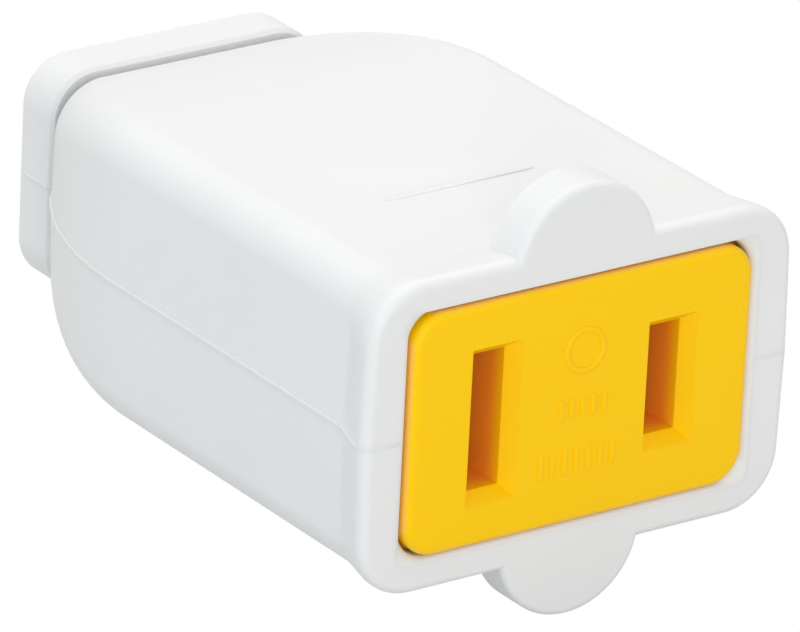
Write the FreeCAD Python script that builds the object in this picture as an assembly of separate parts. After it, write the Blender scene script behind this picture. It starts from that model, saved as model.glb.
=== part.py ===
import FreeCAD
import Part
import math
import os

V = FreeCAD.Vector

# Inline socket connector, two poles, polarised, for the end of a flexible cord.
# Lengths are in millimetres. The socket faces -Y, +X is to the right as seen
# from the front and +Z is up. The origin is the centre of the socket's face.

# Blade slots: the pitch and the two lengths are those of the standard outlet.
blade_pitch = 12.7
slot_width = 2.2
wide_slot_length = 8.7
narrow_slot_length = 7.0
lead_in = 0.68
lead_depth = 0.9
throat_depth = 4.0

# Casing, the two white halves together.
wall = 1.8
body_width = 28.7
body_height = 19.0
body_edge = 2.5
body_rear_edge = 3.3
bow_stations = 5
body_end = 41.8
side_start = 28.3
shoulder = 1.4
roof_start = 28.6
roof_radius = 34.8
draft_angle = 1.5
seam_bevel = 0.12
rim_width = 30.6
rim_height = 19.8
rim_corner = 3.7
rim_length = 3.7
rim_lip = 1.0
rim_sink = 1.3
rim_edge = 0.6
neck_width = 17.0
neck_height = 12.2
neck_corner = 3.0
neck_length = 0.5
collar_width = 19.5
collar_height = 14.7
collar_corner = 3.0
collar_thickness = 3.55
collar_edge = 0.5
lug_radius = 5.05
lug_centre = 8.74
lug_thickness = 2.8
lug_edge = 0.45

# Cord inlet and the cavity behind the socket.
inlet_radius = 4.3
inlet_flare = 1.0
cavity_front = 5.2
cavity_end = 39.4

# Yellow contact carrier and its seat in the casing's mouth.
face_proud = 0.3
face_border = 2.25
face_border_height = 1.9
face_corner = 2.2
face_edge = 0.5
mouth_gap = 0.65
mouth_gap_height = 0.43
mouth_corner = 0.8
ledge_front = 1.5
ledge_corner = 1.0
flange_front = 2.1
flange_rear = 3.6
flange_step = 0.9
flange_step_height = 0.75
flange_corner = 2.5
block_step = 1.3
block_step_height = 1.1
block_corner = 1.0
block_rear = 14.6
cover_thickness = 1.4
cover_rim = 0.85
pocket_width = 5.2
pocket_margin = 0.5
fit_gap = 0.15

# Folded contacts.
sheet = 0.7
bend_radius = 0.5
channel_width = 3.4
channel_front = 8.6
leaf_front = 4.2
pinch_gap = 1.1
leaf_floor = -3.8
leaf_margin = 0.4
tab_front = 15.4
tab_rear = 24.6
tab_width = 7.4

# Terminals.
terminal_y = 20.2
terminal_screw_radius = 1.6
terminal_head_radius = 2.8
terminal_head_height = 1.9
clamp_plate_side = 6.4
clamp_plate_thickness = 1.1
nut_side = 5.4
nut_thickness = 2.0
pad_side = 8.0
pad_room = 0.6
screw_tip_room = 0.6

# Screws that hold the halves, entered from below.
shell_screw_y = 29.5
shell_screw_radius = 1.4
shell_head_radius = 2.5
shell_head_height = 1.7
shell_screw_reach = 5.8
pillar_radius = 3.3
pillar_room = 0.25
head_well_radius = 2.7
head_seat = -6.6

# Cord clamp.
jaw_ear = 2.2
jaw_front = 34.2
jaw_rear = 38.2
jaw_reach = 5.2
jaw_parting = 0.6
saddle_radius = 3.6
arch_half_width = 4.4
ear_top = 2.6
jaw_screw_room = 0.4
jaw_screw_radius = 1.2
jaw_head_radius = 2.1
jaw_head_height = 1.6

# Ribs and the lip between the halves.
rib_thickness = 1.4
rib_root = 0.3
barrier_thickness = 1.2
barrier_rear = 26.0
lip_width = 0.8
lip_height = 0.8
lip_front = 6.0
lip_rear = 37.8
clearance = 0.1
drive_slot_width = 0.9
drive_slot_depth = 0.8

# Places that follow from the sizes above.
rim_front = face_proud
rim_rear = rim_front + rim_length
collar_front = body_end + neck_length
collar_rear = collar_front + collar_thickness
face_width = body_width - 2 * face_border
face_height = body_height - 2 * face_border_height
flange_width = face_width + 2 * flange_step
flange_height = face_height + 2 * flange_step_height
block_width = face_width - 2 * block_step
block_height = face_height - 2 * block_step_height
cover_front = block_rear - cover_thickness
slot_x = blade_pitch / 2
inner_side = body_width / 2 - wall
side_drop = body_width / 2 - neck_width / 2 - shoulder
side_radius = ((body_end - side_start) ** 2 + side_drop ** 2) / (2 * side_drop)
terminal_middle = inner_side - pad_room - pad_side / 2
tab_offset = terminal_middle - slot_x
shell_screw_x = inner_side - pillar_room - pillar_radius
jaw_screw_x = arch_half_width + jaw_screw_room + jaw_head_radius
jaw_half_width = jaw_screw_x + jaw_ear
tab_top = leaf_floor
tab_under = leaf_floor - sheet
lean = math.tan(math.radians(draft_angle))


def box(x0, x1, y0, y1, z0, z1):
    """Block between two corners."""
    return Part.makeBox(x1 - x0, y1 - y0, z1 - z0, V(x0, y0, z0))


def upright(radius, x, y, z0, z1):
    """Cylinder with its axis along Z."""
    return Part.makeCylinder(radius, z1 - z0, V(x, y, z0))


def lengthwise(radius, y0, y1, z=0.0):
    """Cylinder with its axis along Y."""
    return Part.makeCylinder(radius, y1 - y0, V(0, y0, z), V(0, 1, 0))


def edges_where(solid, test):
    """Edges whose two end points both pass the test."""
    found = []
    for edge in solid.Edges:
        ends = edge.Vertexes
        if len(ends) == 2 and test(ends[0].Point) and test(ends[1].Point):
            found.append(edge)
    return found


def runs_along(edge, axis):
    """True for a straight edge parallel to the axis, given as 0, 1 or 2."""
    a, b = edge.Vertexes[0].Point, edge.Vertexes[-1].Point
    apart = [abs(a[i] - b[i]) > 1e-6 for i in range(3)]
    return apart[axis] and sum(apart) == 1


def rounded_block(width, height, corner, y0, y1, front_edge=0.0):
    """Block along Y with rounded long edges, and a rounded front edge if one is given."""
    solid = box(-width / 2, width / 2, y0, y1, -height / 2, height / 2)
    solid = solid.makeFillet(corner, [e for e in solid.Edges if runs_along(e, 1)])
    if front_edge:
        solid = solid.makeFillet(front_edge, edges_where(solid, lambda p: abs(p.y - y0) < 1e-6))
    return solid


def upper_half(solid):
    """What lies above the seam."""
    reach = body_width
    return solid.common(box(-reach, reach, -reach, 2 * reach, 0, reach))


def both_sides(solid):
    """The piece and its mirror image across the middle plane, joined."""
    return solid.fuse(solid.mirror(V(0, 0, 0), V(1, 0, 0))).removeSplitter()


def underneath(solid):
    """Mirror image across the seam."""
    return solid.mirror(V(0, 0, 0), V(0, 0, 1))


def flat_block(first, last):
    """Solid with flat faces between two outlines of four corners each."""
    faces = [first, last] + [[first[i], first[i - 1], last[i - 1], last[i]] for i in range(4)]
    solid = Part.Solid(Part.Shell([Part.Face(Part.makePolygon(face + face[:1])) for face in faces]))
    solid.fix(1e-6, 1e-6, 1e-6)
    return Part.Solid(solid.Shells[0])


def quarter_corners(half_width, half_height, y):
    """Corners of one upper quarter at one place along the body, the side leaning in upward."""
    return [V(0, y, 0), V(-half_width, y, 0), V(-half_width + half_height * lean, y, half_height),
            V(0, y, half_height)]


def rounded_quarter(half_width, half_height, corner, y):
    """Outline of one upper quarter: leaning side, rounded corner, level roof, bevelled seam."""
    angle = math.radians(draft_angle)
    up, inward = V(math.sin(angle), 0, math.cos(angle)), V(math.cos(angle), 0, -math.sin(angle))
    foot = V(-half_width, y, 0)
    on_side = foot + up * ((half_height - corner - corner * inward.z) / up.z)
    centre = on_side + inward * corner
    outward = V(0, 0, 1) - inward
    bend = centre + outward.normalize() * corner
    on_roof = centre + V(0, 0, corner)
    seam = foot + V(seam_bevel, 0, 0)
    side = foot + up * seam_bevel
    top, middle = V(0, y, half_height), V(0, y, 0)
    return Part.Wire([Part.makeLine(seam, side), Part.makeLine(side, on_side),
                      Part.Arc(on_side, bend, on_roof).toShape(), Part.makeLine(on_roof, top),
                      Part.makeLine(top, middle), Part.makeLine(middle, seam)])


def fallen(radius, start, y):
    """How far a line that turns onto an arc of this radius has come in at one place."""
    run = max(0.0, y - start)
    return radius - math.sqrt(radius ** 2 - run ** 2)


def long_quarters(front):
    """Front and rear pieces of the body's upper quarter; the rear one's rounding grows."""
    half, high = body_width / 2, body_height / 2
    outline = rounded_quarter(half, high, body_edge, front)
    straight = Part.Face(outline).extrude(V(0, side_start - front, 0))
    stations = []
    for i in range(bow_stations):
        part = i / (bow_stations - 1)
        y = side_start + (body_end - side_start) * part
        stations.append(rounded_quarter(half - fallen(side_radius, side_start, y),
                                        high - fallen(roof_radius, roof_start, y),
                                        body_edge + (body_rear_edge - body_edge) * part, y))
    return [straight, Part.makeLoft(stations, True, False)]


def quarter_body(inset, front, rear):
    """One upper quarter of the long part with plain edges, smaller all round by the inset.

    In plan the side runs straight and then follows a cone, so that it leans in
    for the mould. In the side view the roof runs straight and then follows a
    cylinder. The quarter is what both forms share.
    """
    half, high = body_width / 2 - inset, body_height / 2 - inset
    turn, drop = side_radius - inset, roof_radius - inset
    far = body_width
    cone = Part.makeCone(turn, turn - far * lean, far, V(turn - half, side_start, 0))
    plan = cone.common(box(-far, 0, side_start, rear, 0, far))
    barrel = Part.makeCylinder(drop, far, V(-far, roof_start, high - drop), V(1, 0, 0))
    view = barrel.common(box(-far, 0, roof_start, rear, 0, far))
    if front < side_start:
        plan = plan.fuse(flat_block(quarter_corners(half, far, front),
                                    quarter_corners(half, far, side_start)))
    if front < roof_start:
        view = view.fuse(box(-far, 0, front, roof_start, 0, high))
    return plan.common(view).removeSplitter()


def bevel_seam(solid, test):
    """Cut back the outer edge along the seam, so that two halves show a fine V groove."""
    return solid.makeChamfer(seam_bevel, edges_where(solid, lambda p: abs(p.z) < 1e-6 and test(p)))


def rim_quarters():
    """Upper quarter of the rim: a straight lip, and a taper that sinks into the body."""
    half, high = rim_width / 2, rim_height / 2
    lip_end = rim_front + rim_lip
    lip = flat_block(quarter_corners(half, high, rim_front), quarter_corners(half, high, lip_end))
    corner = [e for e in edges_where(lip, lambda p: p.z > 1 and p.x < -1) if runs_along(e, 1)]
    lip = lip.makeFillet(rim_corner, corner)
    loop = [e for e in edges_where(lip, lambda p: p.y < rim_front + 1e-6)
            if e.CenterOfMass.x < -1e-3 and e.CenterOfMass.z > 1e-3]
    lip = bevel_seam(lip.makeFillet(rim_edge, loop), lambda p: p.x < -1)

    def sunk(start, end):
        return start + (end - start) * rim_sink

    taper = [rounded_quarter(half, high, rim_corner, lip_end),
             rounded_quarter(sunk(half, body_width / 2), sunk(high, body_height / 2),
                             sunk(rim_corner, body_edge), sunk(lip_end, rim_rear))]
    return [lip, Part.makeLoft(taper, True, True)]


def outer_half():
    """Upper half of the casing's outside, solid: mirrored quarters, neck, collar and lug."""
    quarters = long_quarters(rim_rear - rim_length / 2) + rim_quarters()
    neck = rounded_block(neck_width, neck_height, neck_corner, body_end - wall, collar_front)
    collar = rounded_block(collar_width, collar_height, collar_corner, collar_front, collar_rear)
    collar = collar.makeFillet(collar_edge, edges_where(collar, lambda p: p.y > collar_rear - 1e-6))
    front_loop = edges_where(collar, lambda p: p.y < collar_front + 1e-6)
    collar = upper_half(collar.makeChamfer(collar_edge / 2, front_loop))
    collar = bevel_seam(collar, lambda p: abs(p.x) > collar_width / 2 - collar_edge - 1e-6)
    lug = lengthwise(lug_radius, rim_front, rim_front + lug_thickness, lug_centre)
    lug = lug.makeFillet(lug_edge, [e for e in lug.Edges
                                    if not runs_along(e, 1) and e.Vertexes[0].Y < rim_front + 1e-6])
    half = both_sides(quarters[0].fuse(quarters[1:]))
    return half.fuse([upper_half(neck), collar, upper_half(lug)]).removeSplitter()


def body_half(inset, front, rear):
    """Upper half of the long part with plain edges, smaller all round by the inset."""
    return both_sides(quarter_body(inset, front, rear))


def side_strip(inset, far_inset, front, rear, height):
    """Two strips that follow the side walls, between two insets, up from the seam."""
    strip = body_half(inset, front, rear).cut(body_half(far_inset, front - 1, rear + 1))
    return strip.common(box(-body_width, body_width, front, rear, 0, height))


def shell_half():
    """One half of the casing with its hollow, mouth, flange groove and cord inlet."""
    shell = outer_half().cut(body_half(wall, cavity_front, cavity_end))
    mouth = rounded_block(face_width + 2 * mouth_gap, face_height + 2 * mouth_gap_height,
                          mouth_corner, rim_front - 1, ledge_front)
    ledge = rounded_block(face_width + 2 * fit_gap, face_height + 2 * fit_gap,
                          ledge_corner, rim_front, flange_front)
    groove = rounded_block(flange_width + 2 * fit_gap, flange_height + 2 * fit_gap,
                           flange_corner + fit_gap, flange_front - fit_gap, flange_rear)
    throat = rounded_block(block_width + 2 * fit_gap, block_height + 2 * fit_gap,
                           block_corner + fit_gap, flange_rear - fit_gap, cavity_front + 1)
    inlet = lengthwise(inlet_radius, cavity_end - 1, collar_rear + 1)
    flare = Part.makeCone(inlet_radius, inlet_radius + inlet_flare, inlet_flare,
                          V(0, collar_rear - inlet_flare, 0), V(0, 1, 0))
    shell = shell.cut(mouth.fuse([ledge, groove, throat, inlet, flare]))
    inside = body_half(wall - rib_root, cavity_front - rib_root, cavity_end + rib_root)
    rib = box(-body_width, body_width, cover_front - rib_thickness, cover_front, 0, body_height)
    rib = rib.cut(rounded_block(block_width + 2 * fit_gap, block_height + 2 * fit_gap,
                                block_corner + fit_gap, 0, body_end))
    barrier = box(-barrier_thickness / 2, barrier_thickness / 2, block_rear + fit_gap,
                  barrier_rear, 0, body_height)
    return shell.fuse([rib.common(inside), barrier.common(inside)]), inside


def on_both_screws(make):
    """The same piece at the left and the right screw of the casing."""
    return [make(x) for x in (-shell_screw_x, shell_screw_x)]


def upper_shell():
    """Upper half: bosses that the casing screws bite into, and the rebate for the lip."""
    shell, inside = shell_half()
    bosses = on_both_screws(lambda x: upright(pillar_radius, x, shell_screw_y, 0, body_height))
    shell = shell.fuse([boss.common(inside) for boss in bosses])
    holes = on_both_screws(lambda x: upright(shell_screw_radius + clearance / 2, x, shell_screw_y,
                                             -1, shell_screw_reach + screw_tip_room))
    rebate = side_strip(wall - lip_width - clearance, wall + clearance, lip_front - clearance,
                        lip_rear + clearance, lip_height + clearance)
    return shell.cut(rebate).cut(holes[0].fuse(holes[1]))


def terminal_x(side):
    """Middle of a terminal: its pad stands a little off the side wall."""
    return side * terminal_middle


def lower_shell():
    """Lower half: pillars with wells for the screw heads, terminal pads, clamp seat and lip."""
    shell, inside = shell_half()
    shell, inside = underneath(shell), underneath(inside)
    depth = -body_height
    pieces = on_both_screws(lambda x: upright(pillar_radius, x, shell_screw_y, depth, 0))
    for side in (-1, 1):
        x = terminal_x(side)
        pieces.append(box(x - pad_side / 2, x + pad_side / 2, terminal_y - pad_side / 2,
                          terminal_y + pad_side / 2, depth, tab_under))
        stop = jaw_half_width + fit_gap
        pieces.append(box(min(side * stop, side * body_width), max(side * stop, side * body_width),
                          jaw_front, jaw_rear, depth, -jaw_parting))
    pieces.append(box(-jaw_half_width, jaw_half_width, jaw_front, jaw_rear, depth, -jaw_reach))
    shell = shell.fuse([piece.common(inside) for piece in pieces])
    lip = side_strip(wall - lip_width, wall, lip_front, lip_rear, lip_height)
    root = underneath(side_strip(wall - lip_width, wall, lip_front, lip_rear, lip_height))
    shell = shell.fuse([lip, root])
    cuts = on_both_screws(lambda x: upright(head_well_radius, x, shell_screw_y, depth, head_seat))
    cuts += on_both_screws(lambda x: upright(shell_screw_radius + fit_gap, x, shell_screw_y,
                                             head_seat - 1, 1))
    pocket = nut_side / 2 + fit_gap
    for side in (-1, 1):
        x = terminal_x(side)
        floor = tab_under - nut_thickness
        cuts.append(box(x - pocket, x + pocket, terminal_y - pocket, terminal_y + pocket,
                        floor, tab_under + 1))
        cuts.append(upright(terminal_screw_radius + fit_gap, x, terminal_y,
                            floor - screw_tip_room - 0.2, floor + 1))
    return shell.cut(cuts[0].fuse(cuts[1:])).removeSplitter()


def slot_and_lead(side, length):
    """Blade slot through the face, with the bevel that leads the blade in."""
    x = side * slot_x

    def corners(y, grow):
        a, b = slot_width / 2 + grow, length / 2 + grow
        return [V(x - a, y, -b), V(x + a, y, -b), V(x + a, y, b), V(x - a, y, b)]

    bevel = flat_block(corners(-lead_depth / 4, lead_in * 1.25), corners(lead_depth, 0))
    slot = box(x - slot_width / 2, x + slot_width / 2, -1, throat_depth + 1, -length / 2, length / 2)
    return bevel.fuse(slot)


def contact_carrier():
    """Yellow moulding: face, flange held in the casing's groove, and two contact pockets."""
    face = rounded_block(face_width, face_height, face_corner, 0, flange_front, face_edge)
    flange = rounded_block(flange_width, flange_height, flange_corner, flange_front, flange_rear)
    block = rounded_block(block_width, block_height, block_corner, flange_rear, block_rear)
    carrier = face.fuse([flange, block])
    seat = box(-block_width / 2 + cover_rim, block_width / 2 - cover_rim, cover_front,
               block_rear + 1, -block_height / 2 + cover_rim, block_height / 2 - cover_rim)
    core = slot_x - pocket_width / 2 - 1.2
    cuts = [seat, box(-core, core, flange_rear + 1.5, cover_front + 1, -leaf_height(), leaf_height())]
    for side, length in ((-1, wide_slot_length), (1, narrow_slot_length)):
        x = side * slot_x
        cuts.append(slot_and_lead(side, length))
        cuts.append(box(x - pocket_width / 2, x + pocket_width / 2, throat_depth, cover_front + 1,
                        tab_under - pocket_margin, length / 2 + pocket_margin))
    return carrier.cut(cuts[0].fuse(cuts[1:])).removeSplitter()


def leaf_height():
    """Half the height kept free in the carrier's core."""
    return -leaf_floor


def carrier_back_cover():
    """Plate that closes the contact pockets, notched so that the contacts' tails pass."""
    half_width = block_width / 2 - cover_rim - clearance
    half_height = block_height / 2 - cover_rim - clearance
    plate = box(-half_width, half_width, cover_front, block_rear, -half_height, half_height)
    plate = plate.makeFillet(0.6, [e for e in plate.Edges if runs_along(e, 1)])
    for side in (-1, 1):
        x = side * slot_x
        reach = channel_width / 2 + fit_gap
        plate = plate.cut(box(x - reach, x + reach, cover_front - 1, block_rear + 1,
                              -block_height, tab_top + fit_gap))
    return plate


def leaf(side_of_gap, top):
    """Front half of one spring leaf: in to the pinch, then flared at the mouth."""
    wide = channel_width / 2
    neck = pinch_gap / 2 + sheet
    inner = [(wide - sheet, channel_front), (neck - sheet, leaf_front + 1.6),
             (neck - sheet, leaf_front + 1.2), (neck + 0.3 - sheet, leaf_front)]
    outer = [(wide, channel_front), (neck, leaf_front + 1.6),
             (neck, leaf_front + 1.2), (neck + 0.3, leaf_front)]
    points = [V(side_of_gap * u, y, leaf_floor + sheet) for u, y in inner + outer[::-1]]
    return Part.Face(Part.makePolygon(points + points[:1])).extrude(V(0, 0, top - leaf_floor - sheet))


def folded_contact(side, length):
    """Contact folded from one strip: a channel with two spring leaves, and a terminal tab."""
    top = length / 2 - leaf_margin
    wide = channel_width / 2
    channel = box(-wide, wide, channel_front, cover_front - fit_gap, tab_under, top)
    rounding = [e for e in channel.Edges if runs_along(e, 1) and e.Vertexes[0].Z < 0]
    channel = channel.makeFillet(bend_radius + sheet, rounding)
    inner = box(-wide + sheet, wide - sheet, channel_front - 1, cover_front, leaf_floor, top + 1)
    rounding = [e for e in inner.Edges if runs_along(e, 1) and e.Vertexes[0].Z < 0]
    channel = channel.cut(inner.makeFillet(bend_radius, rounding))
    leaves = [leaf(-1, top), leaf(1, top)]
    tail = box(-wide + sheet, wide - sheet, channel_front, tab_front + 1, tab_under, tab_top)
    middle = side * tab_offset
    tab = box(middle - tab_width / 2, middle + tab_width / 2, tab_front, tab_rear, tab_under, tab_top)
    tab = tab.makeFillet(1.0, [e for e in tab.Edges if runs_along(e, 2)])
    contact = channel.fuse(leaves + [tail, tab]).removeSplitter()
    contact.translate(V(side * slot_x, 0, 0))
    return contact.cut(upright(terminal_screw_radius + fit_gap, terminal_x(side), terminal_y,
                               tab_under - 1, tab_top + 1))


def pan_screw(radius, head_radius, head_height, reach):
    """Slotted pan-head screw: the underside of its head at zero, its shank downward."""
    head = Part.makeCylinder(head_radius, head_height)
    top = [e for e in head.Edges if not runs_along(e, 2) and e.Vertexes[0].Z > head_height / 2]
    head = head.makeChamfer(head_height * 0.3, top)
    shank = upright(radius, 0, 0, -reach, 0)
    tip = [e for e in shank.Edges if not runs_along(e, 2) and e.Vertexes[0].Z < -reach / 2]
    screw = head.fuse(shank.makeChamfer(radius * 0.3, tip))
    slot = box(-head_radius, head_radius, -drive_slot_width / 2, drive_slot_width / 2,
               head_height - drive_slot_depth, head_height + 1)
    return screw.cut(slot)


def terminal_screw(side):
    """Screw that presses the wire under its clamp plate."""
    seat = tab_top + clamp_plate_thickness
    reach = seat - tab_under + nut_thickness + screw_tip_room
    screw = pan_screw(terminal_screw_radius, terminal_head_radius, terminal_head_height, reach)
    screw.translate(V(terminal_x(side), terminal_y, seat))
    return screw


def wire_clamp(side):
    """Square pressure plate between the screw's head and the terminal tab."""
    half = clamp_plate_side / 2
    x = terminal_x(side)
    plate = box(x - half, x + half, terminal_y - half, terminal_y + half, tab_top,
                tab_top + clamp_plate_thickness)
    plate = plate.makeFillet(0.8, [e for e in plate.Edges if runs_along(e, 2)])
    rim = [e for e in plate.Edges if e.Vertexes[0].Z > tab_top + 0.5 and not runs_along(e, 2)]
    plate = plate.makeChamfer(0.25, rim)
    return plate.cut(upright(terminal_screw_radius + fit_gap, x, terminal_y, tab_top - 1, 0))


def terminal_nut(side):
    """Square nut in the pocket under the terminal tab."""
    half = nut_side / 2
    x = terminal_x(side)
    nut = box(x - half, x + half, terminal_y - half, terminal_y + half,
              tab_under - nut_thickness, tab_under)
    nut = nut.makeChamfer(0.3, [e for e in nut.Edges if runs_along(e, 2)])
    return nut.cut(upright(terminal_screw_radius + clearance / 2, x, terminal_y, -body_height, 0))


def shell_screw(side):
    """Screw from below through the lower pillar into the upper boss."""
    screw = pan_screw(shell_screw_radius, shell_head_radius, shell_head_height,
                      shell_screw_reach - head_seat)
    screw.rotate(V(0, 0, 0), V(1, 0, 0), 180)
    screw.translate(V(side * shell_screw_x, shell_screw_y, head_seat))
    return screw


def clamp_screw(side):
    """Screw that draws the two clamp jaws together on the cord."""
    screw = pan_screw(jaw_screw_radius, jaw_head_radius, jaw_head_height,
                      ear_top + jaw_reach - screw_tip_room)
    screw.translate(V(side * jaw_screw_x, (jaw_front + jaw_rear) / 2, ear_top))
    return screw


def clamp_jaw(hole_radius, lowered_ears):
    """Clamp jaw with a round saddle for the cord and two screw holes, up from the parting."""
    ears = ear_top if lowered_ears else jaw_reach
    arch = box(-arch_half_width, arch_half_width, jaw_front, jaw_rear, jaw_parting, jaw_reach)
    crown = [e for e in arch.Edges if runs_along(e, 1) and e.Vertexes[0].Z > jaw_reach - 1e-6]
    jaw = box(-jaw_half_width, jaw_half_width, jaw_front, jaw_rear, jaw_parting, ears)
    jaw = jaw.makeFillet(0.8, [e for e in jaw.Edges if runs_along(e, 2)])
    if lowered_ears:
        jaw = jaw.fuse(arch.makeFillet(0.8, crown))
    jaw = jaw.cut(lengthwise(saddle_radius, jaw_front - 1, jaw_rear + 1))
    for side in (-1, 1):
        jaw = jaw.cut(upright(hole_radius, side * jaw_screw_x, (jaw_front + jaw_rear) / 2,
                              -1, body_height))
    return jaw


def save(name, shape):
    """Write one piece as a STEP file."""
    solid = shape.Solids[0] if len(shape.Solids) == 1 else shape
    print(name, "solids", len(shape.Solids), "valid", shape.isValid(), "volume", round(shape.Volume, 1))
    solid.exportStep("parts/" + name + ".step")


os.makedirs("parts", exist_ok=True)
save("upper_shell", upper_shell())
save("lower_shell", lower_shell())
save("contact_carrier", contact_carrier())
save("carrier_back_cover", carrier_back_cover())
save("neutral_contact", folded_contact(-1, wide_slot_length))
save("line_contact", folded_contact(1, narrow_slot_length))
for pole, side in (("neutral", -1), ("line", 1)):
    save(pole + "_terminal_screw", terminal_screw(side))
    save(pole + "_wire_clamp", wire_clamp(side))
    save(pole + "_terminal_nut", terminal_nut(side))
for hand, side in (("left", -1), ("right", 1)):
    save("shell_screw_" + hand, shell_screw(side))
    save("clamp_screw_" + hand, clamp_screw(side))
save("upper_clamp_jaw", clamp_jaw(jaw_screw_radius + fit_gap, True))
save("lower_clamp_jaw", underneath(clamp_jaw(jaw_screw_radius + clearance / 2, False)))
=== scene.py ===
import math
import bpy
import bmesh
import numpy as np
from mathutils import Matrix, Vector


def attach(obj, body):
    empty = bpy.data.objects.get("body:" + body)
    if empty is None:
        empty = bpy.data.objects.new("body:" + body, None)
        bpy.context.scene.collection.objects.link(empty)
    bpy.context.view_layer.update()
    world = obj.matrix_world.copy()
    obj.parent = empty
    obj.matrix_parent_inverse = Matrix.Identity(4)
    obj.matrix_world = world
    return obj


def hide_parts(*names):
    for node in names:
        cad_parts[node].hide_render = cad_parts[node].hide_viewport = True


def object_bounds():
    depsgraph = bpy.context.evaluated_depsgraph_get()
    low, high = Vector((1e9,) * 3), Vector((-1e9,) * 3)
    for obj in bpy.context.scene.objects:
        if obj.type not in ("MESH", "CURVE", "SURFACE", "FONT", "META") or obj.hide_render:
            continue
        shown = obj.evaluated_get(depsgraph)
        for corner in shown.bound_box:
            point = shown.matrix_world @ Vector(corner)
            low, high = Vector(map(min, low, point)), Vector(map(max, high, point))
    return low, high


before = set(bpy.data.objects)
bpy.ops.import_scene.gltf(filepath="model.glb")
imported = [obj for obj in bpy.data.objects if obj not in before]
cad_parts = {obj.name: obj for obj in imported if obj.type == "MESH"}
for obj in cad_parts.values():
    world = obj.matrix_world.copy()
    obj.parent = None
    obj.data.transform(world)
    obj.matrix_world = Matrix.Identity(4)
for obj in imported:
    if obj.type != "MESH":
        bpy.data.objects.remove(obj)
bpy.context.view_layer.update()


# Casing halves. Real ones are injection moulded in white thermoplastic with a
# satin skin: very fine spark-eroded grain, slight waves where the plastic
# shrank, and a little light that travels under the surface.
MM = 0.001  # the frame is in metres, and the sizes of pieces here are in millimetres
WELD = 0.0004 * MM  # points nearer to each other than this are one point


def linear(text):
    """Colour from a #RRGGBB string, taken from sRGB to linear light."""
    values = [int(text[i:i + 2], 16) / 255 for i in (1, 3, 5)]
    return [v / 12.92 if v <= 0.04045 else ((v + 0.055) / 1.055) ** 2.4 for v in values] + [1.0]


def add_node(tree, kind, links=None, **values):
    """Add one shader node; values set sockets or properties, links join outputs to inputs."""
    node = tree.nodes.new(kind)
    for name, value in values.items():
        label = name.replace("_", " ")
        if label in node.inputs.keys():
            node.inputs[label].default_value = value
        else:
            setattr(node, name, value)
    for name, output in (links or {}).items():
        tree.links.new(output, node.inputs[name])
    return node


def new_material(name, **finish):
    """Material with its tree, its principled shader, and object coordinates in millimetres."""
    material = bpy.data.materials.new(name)
    material.use_nodes = True
    tree = material.node_tree
    tree.nodes.clear()
    surface = add_node(tree, "ShaderNodeBsdfPrincipled", **finish)
    add_node(tree, "ShaderNodeOutputMaterial", {"Surface": surface.outputs["BSDF"]})
    place = add_node(tree, "ShaderNodeTexCoord")
    scaled = add_node(tree, "ShaderNodeVectorMath", {0: place.outputs["Object"]},
                      operation="SCALE", Scale=1 / MM)
    return material, tree, surface, scaled.outputs["Vector"]


def mottled(tree, where, cloud, first, second, detail=2.0):
    """Colour that drifts between two, in clouds about cloud millimetres across."""
    drift = add_node(tree, "ShaderNodeTexNoise", {"Vector": where}, Scale=1 / cloud, Detail=detail)
    mix = add_node(tree, "ShaderNodeMix", {"Factor": drift.outputs["Fac"]}, data_type="RGBA",
                   A=linear(first), B=linear(second))
    return mix.outputs["Result"]


def worked_skin(tree, surface, where, grain, height, low, high, detail=2.0, stretch=None,
                wave=None, wave_height=None):
    """Fine grain that stands up by height and carries the roughness from low to high.

    The grains are about grain across, and drawn out where stretch is under 1.
    A wave, where one is given, is a wide swell over them, of its own size and
    height. All of these sizes are in millimetres.
    """
    drawn = where
    if stretch:
        drawn = add_node(tree, "ShaderNodeVectorMath", {0: where}, operation="MULTIPLY").outputs[0]
        drawn.node.inputs[1].default_value = stretch
    fine = add_node(tree, "ShaderNodeTexNoise", {"Vector": drawn}, Scale=1 / grain, Detail=detail)
    rough = add_node(tree, "ShaderNodeMapRange", {"Value": fine.outputs["Fac"]}, To_Min=low,
                     To_Max=high)
    tree.links.new(rough.outputs["Result"], surface.inputs["Roughness"])
    bump = add_node(tree, "ShaderNodeBump", {"Height": fine.outputs["Fac"]}, Strength=1.0,
                    Distance=height * MM)
    if wave:
        swell = add_node(tree, "ShaderNodeTexNoise", {"Vector": where}, Scale=1 / wave, Detail=1.0)
        bump = add_node(tree, "ShaderNodeBump",
                        {"Height": swell.outputs["Fac"], "Normal": bump.outputs["Normal"]},
                        Strength=1.0, Distance=wave_height * MM)
    tree.links.new(bump.outputs["Normal"], surface.inputs["Normal"])


def white_plastic():
    """Satin white thermoplastic whose grain softens the highlights.

    The real grain is some hundredths of a millimetre, too fine to show, so it
    is drawn at 0.16 mm.
    """
    material, tree, surface, where = new_material(
        "white_thermoplastic", IOR=1.5, Specular_IOR_Level=0.25, Subsurface_Weight=0.15,
        Subsurface_Radius=(0.9, 0.85, 0.8), Subsurface_Scale=0.6 * MM)
    tint = mottled(tree, where, cloud=9.0, first="#E6E6E5", second="#EBEBEA")
    tree.links.new(tint, surface.inputs["Base Color"])
    worked_skin(tree, surface, where, grain=0.16, height=0.0025, low=0.36, high=0.46,
                wave=5.0, wave_height=0.02)
    return material


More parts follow.
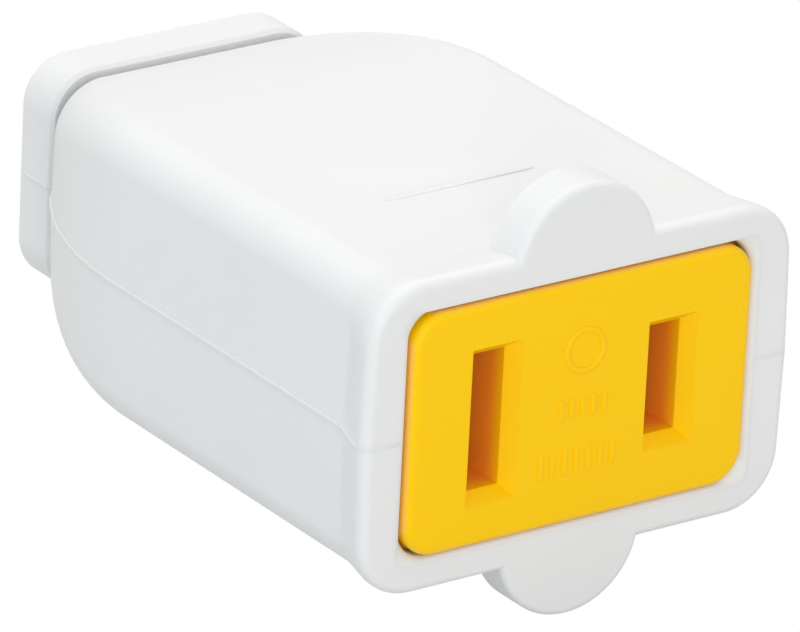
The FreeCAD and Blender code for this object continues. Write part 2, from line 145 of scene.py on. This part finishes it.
def polished_copy(node, material, crease=30):
    """Copy of a CAD node's mesh, its points joined and its faces smooth up to a crease."""
    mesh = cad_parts[node].data.copy()
    for stored in ("custom_normal", "sharp_edge", "sharp_face"):
        if stored in mesh.attributes:
            mesh.attributes.remove(mesh.attributes[stored])
    shape = bmesh.new()
    shape.from_mesh(mesh)
    bmesh.ops.remove_doubles(shape, verts=shape.verts, dist=WELD)
    shape.to_mesh(mesh)
    shape.free()
    mesh.shade_smooth()
    mesh.set_sharp_from_angle(angle=math.radians(crease))
    mesh.materials.clear()
    mesh.materials.append(material)
    copy = bpy.data.objects.new("dressed_" + node, mesh)
    bpy.context.scene.collection.objects.link(copy)
    even = copy.modifiers.new("even_normals", "WEIGHTED_NORMAL")
    even.keep_sharp = True
    even.weight = 100
    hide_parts(node)
    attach(copy, "root")
    return copy


white = white_plastic()
for half in ("upper_shell", "lower_shell"):
    polished_copy(half, white)


# Mouth edge: the white moulding turns in towards the yellow one with a soft
# rounding and leaves a fine dark gap round it, wider at the round corners.
RIM_FRONT = 0.3  # the rim lies this far behind the yellow face
mouth_half, mouth_corner = (12.77, 8.05), 0.8  # where it leaves the rim's front
edge_half, edge_corner, edge_middle = (12.31, 7.85), 2.0, (-0.09, 0, 0.13)  # its inner side
edge_round, edge_back = 0.55, 1.48  # how deep the rounding goes, and where the edge ends


def closed_rows(rows, columns):
    """Quads between the rows of a grid of points whose columns run round and meet."""
    i, j = np.meshgrid(np.arange(rows - 1), np.arange(columns), indexing="ij")
    k = (j + 1) % columns
    quads = [i * columns + j, i * columns + k, (i + 1) * columns + k, (i + 1) * columns + j]
    return np.stack(quads, -1).reshape(-1, 4)


def new_piece(name, grids, material, crease=40):
    """Closed surfaces from grids of points in millimetres, rows by columns by 3, as one object."""
    points, quads, start = [], [], 0
    for grid in grids:
        points.append(grid.reshape(-1, 3) * MM)
        quads.append(closed_rows(grid.shape[0], grid.shape[1]) + start)
        start += grid.shape[0] * grid.shape[1]
    mesh = bpy.data.meshes.new(name)
    mesh.from_pydata(np.concatenate(points).tolist(), [], np.concatenate(quads).tolist())
    shape = bmesh.new()
    shape.from_mesh(mesh)
    bmesh.ops.remove_doubles(shape, verts=shape.verts, dist=WELD)
    bmesh.ops.recalc_face_normals(shape, faces=shape.faces)
    shape.to_mesh(mesh)
    shape.free()
    mesh.shade_smooth()
    mesh.set_sharp_from_angle(angle=math.radians(crease))
    mesh.materials.append(material)
    piece = bpy.data.objects.new(name, mesh)
    bpy.context.scene.collection.objects.link(piece)
    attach(piece, "root")
    return piece


def rounded_outline(half, corner):
    """Outline of a rectangle with round corners, in the plane of X and Z.

    With t going once round, each quarter turn lies round the middle of its
    own corner: the point is that middle + corner * (cos(t), sin(t)).
    """
    points = 12  # in each quarter turn
    quarter = np.arange(4)[:, None] * math.pi / 2
    t = (quarter + np.linspace(0, math.pi / 2, points)[None, :]).ravel()
    middle = np.repeat((np.arange(4) + 0.5) * math.pi / 2, points)
    x = np.sign(np.cos(middle)) * (half[0] - corner) + corner * np.cos(t)
    z = np.sign(np.sin(middle)) * (half[1] - corner) + corner * np.sin(t)
    return np.stack([x, 0 * x, z], -1)


def mouth_edge():
    """Closed surface of the edge, a ring of sections with one rounded corner.

    With t from 0 to 90 degrees, the outline goes from outer to inner by
    sin(t) while it goes in from the rim by edge_round * (1 - cos(t)).
    """
    outer = rounded_outline(mouth_half, mouth_corner)
    inner = rounded_outline(edge_half, edge_corner) + np.array(edge_middle)
    t = np.linspace(0, math.pi / 2, 9)[:, None, None]
    inward = np.array([0, 1, 0])
    turn = outer + (inner - outer) * np.sin(t)
    turn = turn + inward * (RIM_FRONT + edge_round * (1 - np.cos(t)))
    back = np.stack([inner + inward * edge_back, outer + inward * edge_back,
                     outer + inward * RIM_FRONT])
    return np.concatenate([turn, back])


new_piece("mouth_edge", [mouth_edge()], white)


# Parting line: where the two white halves meet, the mould left a fine rounded
# edge that fills the V groove and stands a hair proud of sides and collar.
groove_depth, groove_half, line_height = 0.12, 0.13, 0.11
casing_half, rim_half, rim_rear, flare_rear = 14.35, 15.3, 1.3, 4.0
lip_round, side_start, casing_end, side_fall = 0.6, 28.3, 41.8, 4.45
collar_half, collar_front, collar_rear, collar_round = 9.75, 42.3, 45.85, 0.5
line_front, neck_half, inlet_half = 12.74, 8.6, 5.3  # ends of its two lengths, from x = 0
tip, pace = 0.02, 0.5  # its pointed ends are tip long, and its straight runs begin after a pace


def casing_outline():
    """Seam line of the right side in plan, from the mouth round the rim to the neck.

    Behind side_start it is an arc that falls in by side_fall at casing_end.
    """
    turn = ((casing_end - side_start) ** 2 + side_fall ** 2) / (2 * side_fall)
    corner = np.linspace(0, math.pi / 2, 7)
    mouth = [[line_front, RIM_FRONT], [line_front + tip, RIM_FRONT], [13.7, RIM_FRONT]]
    lip = np.stack([rim_half - lip_round + lip_round * np.sin(corner),
                    RIM_FRONT + lip_round - lip_round * np.cos(corner)], -1)
    y = np.concatenate([np.linspace(rim_rear, flare_rear, 6),
                        np.linspace(flare_rear + pace, side_start, 20)])
    side = np.stack([np.interp(y, [rim_rear, flare_rear], [rim_half, casing_half]), y], -1)
    y = np.linspace(side_start + pace, casing_end, 40)
    bow = np.stack([casing_half - turn + np.sqrt(turn ** 2 - (y - side_start) ** 2), y], -1)
    rear = [[9.2, casing_end], [neck_half, casing_end]]
    return np.concatenate([mouth, lip, side, bow, rear])


def collar_outline():
    """Seam line of the collar's right side in plan, from the neck to the inlet's flare."""
    corner = np.linspace(0, math.pi / 2, 7)
    edge = np.stack([collar_half - collar_round + collar_round * np.cos(corner),
                     collar_rear - collar_round + collar_round * np.sin(corner)], -1)
    y = np.linspace(42.6, 45.2, 8)
    front = [[8.7, collar_front], [9.5, collar_front]]
    side = np.stack([collar_half + 0 * y, y], -1)
    rear = [[8.0, collar_rear], [inlet_half + tip, collar_rear], [inlet_half, collar_rear]]
    return np.concatenate([front, side, edge, rear])


def power(value, exponent):
    """Power that keeps the sign of its value."""
    return np.sign(value) * np.abs(value) ** exponent


def bead(path, stand):
    """Fine ridge laid along a path in the seam plane, flush with the V groove's two edges.

    At each point of the path, with n the outward normal and v round the
    ridge, the surface is path + n * ((depth + stand) * cos(v)^0.4 - depth)
    + z * half * sin(v)^0.4, each power keeping its sign, where depth and half
    are the groove's.
    """
    along = np.gradient(path, axis=0)
    along /= np.linalg.norm(along, axis=1, keepdims=True)
    normal = np.stack([along[:, 1], -along[:, 0]], -1)
    v = np.linspace(0, 2 * math.pi, 24, endpoint=False)
    whole = np.ones((len(path), 1))
    whole[[0, -1]] = 0
    out = (groove_depth + stand[:, None]) * power(np.cos(v), 0.4)[None, :] - groove_depth
    flat = path[:, None, :] + normal[:, None, :] * (out * whole)[..., None]
    up = groove_half * power(np.sin(v), 0.4)[None, :] * whole
    return np.concatenate([flat, up[..., None]], -1)


def standing(path, start, full, fall, end):
    """Height over the groove, by depth: none to start, all from full to fall, none from end."""
    return np.interp(path[:, 1], [start, full, fall, end], [0, line_height, line_height, 0])


casing, collar = casing_outline(), collar_outline()
beads = [bead(casing, standing(casing, start=0.9, full=2.0, fall=41.0, end=casing_end)),
         bead(collar, standing(collar, start=42.4, full=42.8, fall=45.0, end=45.4))]
new_piece("parting_line", beads + [grid * np.array([-1, 1, 1]) for grid in beads], white)


# Roof mark: one plain fine line on the roof behind the upper lug. It is cut in
# the mould, so it stands up in low relief in the casing's own white plastic.
def pillow(centre, half, flat=1):
    """Flattened bar with round corners, half its sizes given, lying flat on the axis named.

    With u round the bar and v from pole to pole, the two sizes in its plane are
    a * cos(v)^0.6 * cos(u)^0.5 and b * cos(v)^0.6 * sin(u)^0.5, and its height
    is c * sin(v)^0.6, each power keeping its sign.
    """
    v, u = np.meshgrid(np.linspace(-math.pi / 2, math.pi / 2, 17),
                       np.linspace(0, 2 * math.pi, 40, endpoint=False), indexing="ij")
    across = [axis for axis in range(3) if axis != flat]
    points = np.zeros(v.shape + (3,))
    points[..., across[0]] = half[across[0]] * power(np.cos(v), 0.6) * power(np.cos(u), 0.5)
    points[..., across[1]] = half[across[1]] * power(np.cos(v), 0.6) * power(np.sin(u), 0.5)
    points[..., flat] = half[flat] * power(np.sin(v), 0.6)
    return points + np.array(centre)


roof_height = 9.5
mark = pillow(centre=(-0.75, 12.3, roof_height), half=(5.45, 0.17, 0.12), flat=2)
new_piece("roof_mark", [mark], white)


# Contact carrier and its back cover: moulded in a warm yellow plastic, a
# little glossier than the casing. The orange glow of its slots, where light
# bounces from wall to wall, is painted into its colour by depth, with their shade.
face_half, face_corner, face_round = (12.2, 7.725), 2.2, 0.5
face_middle = (-0.096, 0.121)  # off the casing's axis, in x and z
painted_slot_glow_from, painted_slot_glow_to = 0.6, 2.4  # the painted orange glow and shade of the slots grows between these depths
painted_gap_glow_from, painted_gap_glow_to = -0.17, -0.04  # and a painted paler orange, bounce light in the shaded gap round the face, between these, counted from the sides


def past_the_face(tree, spot):
    """How far a point lies beyond the face's sides, in millimetres, and under 0 inside them."""
    beyond = []
    for axis, middle, half in zip("XZ", face_middle, face_half):
        moved = add_node(tree, "ShaderNodeMath", {0: spot.outputs[axis]}, operation="SUBTRACT")
        moved.inputs[1].default_value = middle
        size = add_node(tree, "ShaderNodeMath", {0: moved.outputs[0]}, operation="ABSOLUTE")
        past = add_node(tree, "ShaderNodeMath", {0: size.outputs[0]}, operation="SUBTRACT")
        past.inputs[1].default_value = half
        beyond.append(past.outputs[0])
    return add_node(tree, "ShaderNodeMath", {0: beyond[0], 1: beyond[1]},
                    operation="MAXIMUM").outputs[0]


def yellow_plastic():
    """Saturated yellow, evenly dyed, with a soft sheen, painted more orange in its depth as glow
    and shade.

    The real grain is some hundredths of a millimetre, too fine to show, so it
    is drawn at 0.2 mm.
    """
    material, tree, surface, where = new_material("yellow_thermoplastic", IOR=1.5,
                                                  Specular_IOR_Level=0.18)
    colour = mottled(tree, where, cloud=6.0, first="#FFCA00", second="#FFCE00")
    spot = add_node(tree, "ShaderNodeSeparateXYZ", {"Vector": where})
    # Painted glow and shade: more orange the deeper into the slots.
    painted_slot_glow = add_node(tree, "ShaderNodeMapRange", {"Value": spot.outputs["Y"]},
                    interpolation_type="SMOOTHSTEP", From_Min=painted_slot_glow_from, From_Max=painted_slot_glow_to)
    # Painted bounce light: paler orange on the face's sides, in the shaded gap round it.
    painted_gap_glow = add_node(tree, "ShaderNodeMapRange", {"Value": past_the_face(tree, spot)},
                     From_Min=painted_gap_glow_from, From_Max=painted_gap_glow_to)
    for share, goal in ((painted_slot_glow, "#FFA230"), (painted_gap_glow, "#FFC250")):
        mix = add_node(tree, "ShaderNodeMix", {"Factor": share.outputs["Result"], "A": colour},
                       data_type="RGBA", B=linear(goal))
        colour = mix.outputs["Result"]
    tree.links.new(colour, surface.inputs["Base Color"])
    worked_skin(tree, surface, where, grain=0.2, height=0.003, low=0.32, high=0.42,
                wave=4.0, wave_height=0.012)
    return material


yellow = yellow_plastic()
for moulding in ("contact_carrier", "carrier_back_cover"):
    polished_copy(moulding, yellow)


# Face edge: the yellow moulding's rounded front edge. It reaches 0.2 mm further
# left and 0.25 mm further up than the CAD face, as in the photograph. The mouth
# edge is shifted with it, so the gap between them is about even.
FLUSH = 0.004  # it stands this far before the moulding's own face, so that it covers it
border, border_back = 1.2, 2.05  # its width round the face, and how far back it reaches


def face_ring(inset, depth):
    """The face's outline, drawn in by an inset, at a depth behind the face."""
    line = rounded_outline((face_half[0] - inset, face_half[1] - inset), face_corner - inset)
    return line + np.array([face_middle[0], depth, face_middle[1]])


def face_edge():
    """Closed border round the face, its section flat in front and rounded outside.

    With t from 0 to 90 degrees, the front's outline lies face_round * (1 - sin(t))
    inside the outermost one, at a depth of face_round * (1 - cos(t)) less FLUSH.
    """
    turn = [face_ring(face_round * (1 - math.sin(t)), face_round * (1 - math.cos(t)) - FLUSH)
            for t in np.linspace(0, math.pi / 2, 9)]
    front = [face_ring(border, RIM_FRONT), face_ring(border, -FLUSH)]
    back = [face_ring(0, border_back), face_ring(border, border_back),
            face_ring(border, RIM_FRONT)]
    return np.stack(front + turn + back)


new_piece("face_edge", [face_edge()], yellow)


# Face marks: a plain ring and two rows of plain bars between the slots, moulded
# with the yellow carrier in low relief.
mark_height, mark_half = 0.11, 0.2


def hoop(centre, radius, half_width, relief):
    """Ring on a plane of constant y, its section an ellipse.

    With u round the ring and v round its section, the distance from the
    middle is radius + half_width * cos(v) and the height is relief * sin(v).
    """
    u = np.linspace(0, 2 * math.pi, 73)[:, None]
    v = np.linspace(0, 2 * math.pi, 16, endpoint=False)[None, :]
    away = radius + half_width * np.cos(v)
    points = np.stack([away * np.cos(u), relief * np.sin(v) + 0 * u, away * np.sin(u)], -1)
    return points + np.array(centre)


marks = [hoop(centre=(0, 0, 3.4), radius=1.3, half_width=mark_half, relief=mark_height)]
for count, pitch, tall, x, z in ((5, 0.78, 1.4, 0.0, -0.2), (7, 0.86, 1.7, -0.24, -3.6)):
    for i in range(count):
        marks.append(pillow((x + (i - (count - 1) / 2) * pitch, 0, z),
                            (mark_half, mark_height, tall / 2)))
new_piece("face_marks", marks, yellow)


# Contacts: blanked and folded from half-hard brass strip, with fine rolling
# lines along the strip and a slightly dulled skin.
def rolled_brass():
    """Warm yellow metal, drawn out in fine lines that stretch its reflections.

    Rolling lines are finer than a render shows, so they are drawn at 0.08 mm.
    """
    material, tree, surface, where = new_material("rolled_brass", Metallic=1.0)
    tint = mottled(tree, where, cloud=2.2, first="#C79A4B", second="#DDB768", detail=3.0)
    tree.links.new(tint, surface.inputs["Base Color"])
    worked_skin(tree, surface, where, grain=0.08, height=0.004, low=0.22, high=0.40, detail=3.0,
                stretch=(1.0, 0.05, 1.0))
    return material


brass = rolled_brass()
for contact in ("neutral_contact", "line_contact"):
    polished_copy(contact, brass)


# Screws, nuts and pressure plates: turned or pressed, then plated. The
# neutral pole's screw is nickel plated and the line pole's is bare brass, so
# that they can be told apart.
def plated_metal(name, first, second, rough):
    """Cloudy bright metal with faint upright tool marks.

    The marks are finer than a render shows, so they are drawn at 0.12 mm.
    """
    material, tree, surface, where = new_material(name, Metallic=1.0)
    tint = mottled(tree, where, cloud=1.4, first=first, second=second, detail=3.0)
    tree.links.new(tint, surface.inputs["Base Color"])
    worked_skin(tree, surface, where, grain=0.12, height=0.003, low=rough, high=rough + 0.16,
                stretch=(1.0, 1.0, 0.3))
    return material


zinc = plated_metal("zinc_plated_steel", "#B9BEC6", "#CCD0D6", 0.24)
nickel = plated_metal("nickel_plated_brass", "#C9C2B4", "#DAD4C8", 0.18)
turned = plated_metal("turned_brass", "#C99A45", "#E0B766", 0.2)
for metal, slot, names in (
        (nickel, "nickel_plate", ("neutral_terminal_screw",)),
        (turned, "screw_brass", ("line_terminal_screw", "neutral_terminal_nut",
                                 "line_terminal_nut")),
        (zinc, "zinc_steel", ("neutral_wire_clamp", "line_wire_clamp", "shell_screw_left",
                              "shell_screw_right", "clamp_screw_left", "clamp_screw_right"))):
    for name in names:
        polished_copy(name, metal)


# Clamp jaws: two bars moulded in a tough off-white nylon, duller than the
# casing. Their two screws draw them together on whatever cord is fitted.
def jaw_nylon():
    """Milky, slightly warm plastic with a dry surface.

    Its grain is finer than a render shows, so it is drawn at 0.14 mm.
    """
    material, tree, surface, where = new_material("jaw_nylon", IOR=1.53, Subsurface_Weight=0.25,
                                                  Subsurface_Scale=0.8 * MM)
    tint = mottled(tree, where, cloud=3.0, first="#DAD8CF", second="#E4E2DA")
    tree.links.new(tint, surface.inputs["Base Color"])
    worked_skin(tree, surface, where, grain=0.14, height=0.006, low=0.5, high=0.62)
    return material


nylon = jaw_nylon()
for jaw in ("upper_clamp_jaw", "lower_clamp_jaw"):
    polished_copy(jaw, nylon)


# Studio: pale floor, white surroundings and three soft lamps. Seen straight or in
# a reflection, the floor is plain white and takes no shadow. It throws soft
# light upward.
floor_reach = 3.0  # metres
room_strength = 0.73


def studio_floor(height):
    """Large square floor that looks plain white and lights the object as a grey card would."""
    mesh = bpy.data.meshes.new("studio_floor")
    corners = [(-1, -1), (1, -1), (1, 1), (-1, 1)]
    mesh.from_pydata([(x * floor_reach, y * floor_reach, height) for x, y in corners], [],
                     [(0, 1, 2, 3)])
    floor = bpy.data.objects.new("studio_floor", mesh)
    bpy.context.scene.collection.objects.link(floor)
    material = bpy.data.materials.new("pale_floor")
    material.use_nodes = True
    tree = material.node_tree
    tree.nodes.clear()
    matt = add_node(tree, "ShaderNodeBsdfDiffuse", Color=linear("#C9C9C9"))
    plain = add_node(tree, "ShaderNodeEmission", Color=(1, 1, 1, 1), Strength=1.0)
    ray = add_node(tree, "ShaderNodeLightPath")
    shown = add_node(tree, "ShaderNodeMath", {0: ray.outputs["Is Camera Ray"],
                                              1: ray.outputs["Is Glossy Ray"]},
                     operation="MAXIMUM")
    mix = add_node(tree, "ShaderNodeMixShader", {0: shown.outputs[0], 1: matt.outputs[0],
                                                 2: plain.outputs[0]})
    add_node(tree, "ShaderNodeOutputMaterial", {"Surface": mix.outputs[0]})
    mesh.materials.append(material)


def softbox(name, place, aim, width, height, watts, colour):
    """Rectangular area lamp aimed at a point, sizes in metres and power in watts."""
    data = bpy.data.lights.new(name, "AREA")
    data.shape = "RECTANGLE"
    data.size = width
    data.size_y = height
    data.energy = watts
    data.color = linear(colour)[:3]
    lamp = bpy.data.objects.new(name, data)
    bpy.context.scene.collection.objects.link(lamp)
    lamp.location = place
    lamp.rotation_euler = (Vector(aim) - Vector(place)).to_track_quat("-Z", "Y").to_euler()


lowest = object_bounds()[0][2]
studio_floor(lowest)
softbox("top_softbox", place=(0.02, 0.18, 0.42), aim=(0, 0.03, 0), width=0.6, height=0.36,
        watts=1.0, colour="#FFFFFF")
softbox("front_softbox", place=(-0.2445, -0.4236, 0.104), aim=(0, 0.01, 0), width=0.16,
        height=0.16, watts=0.73, colour="#FFFFFF")
softbox("left_softbox", place=(-0.30, -0.14, 0.08), aim=(0, 0.01, 0), width=0.12, height=0.12,
        watts=0.09, colour="#A6DEFF")
world = bpy.data.worlds.new("white_room")
bpy.context.scene.world = world
world.use_nodes = True
room = world.node_tree.nodes["Background"]
room.inputs["Color"].default_value = (1.0, 1.0, 1.0, 1.0)
room.inputs["Strength"].default_value = room_strength


# Camera: a long lens from the front left and above, tipped slightly, as in the
# photograph.
def place_camera(aim, azimuth, elevation, roll, distance, lens):
    """Camera that looks at a point in millimetres from a direction, angles in degrees."""
    a, e, r = (math.radians(v) for v in (azimuth, elevation, roll))
    back = Vector((math.sin(a) * math.cos(e), -math.cos(a) * math.cos(e), math.sin(e)))
    level = Vector((0, 0, 1)).cross(back).normalized()
    up = back.cross(level)
    right = level * math.cos(r) + up * math.sin(r)
    up = back.cross(right)
    data = bpy.data.cameras.new("camera")
    data.lens = lens
    data.sensor_width = 36.0
    data.clip_start = 0.01
    data.clip_end = 20.0
    camera = bpy.data.objects.new("camera", data)
    bpy.context.scene.collection.objects.link(camera)
    turn = Matrix((right, up, back)).transposed()
    camera.matrix_world = Matrix.Translation((Vector(aim) + back * distance) * MM) @ turn.to_4x4()
    bpy.context.scene.camera = camera


place_camera(aim=(-7.472, 8.308, 3.938), azimuth=-35.950, elevation=23.246, roll=2.877,
             distance=565.31, lens=434.88)
bpy.context.scene.view_settings.view_transform = "Standard"
